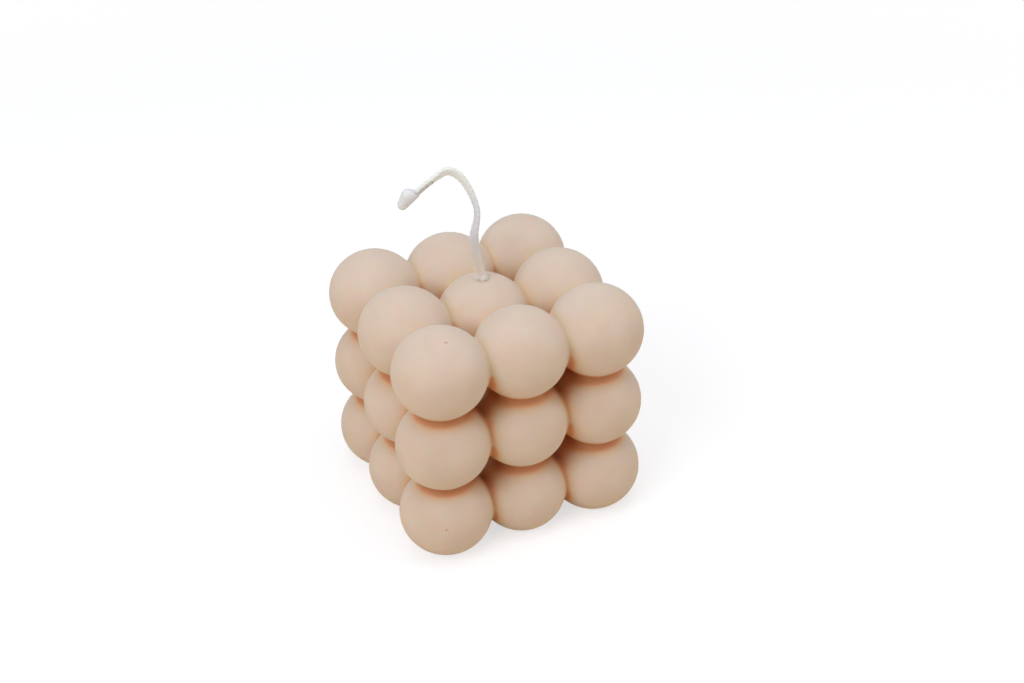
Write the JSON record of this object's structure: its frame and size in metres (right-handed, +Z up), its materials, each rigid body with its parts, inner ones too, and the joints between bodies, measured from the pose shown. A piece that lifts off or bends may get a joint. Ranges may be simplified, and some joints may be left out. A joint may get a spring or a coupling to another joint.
{
  "type": "bubble cube candle",
  "caption": "Decorative candle cast in one piece as a cube of fused wax balls, with a waxed cotton wick that arches over from its crown.",
  "frame": {"origin": "middle of the base, on the plane that the candle stands on", "axes": "+Z up along the wick's channel, X and Y along the two rows of balls, -Y and -X the two faces that the picture shows"},
  "size_m": [0.06, 0.06, 0.0841],
  "materials": {
    "wax": "cast soy wax, warm blush, matt and slightly see-into",
    "wick_cotton": "flat braided cotton soaked in white wax",
    "wick_wax": "hardened white wax drop"
  },
  "bodies": {
    "root": {"wax_body": "wax", "wick": "wick_cotton", "wick_tip_drop": "wick_wax"}
  },
  "joints": []
}
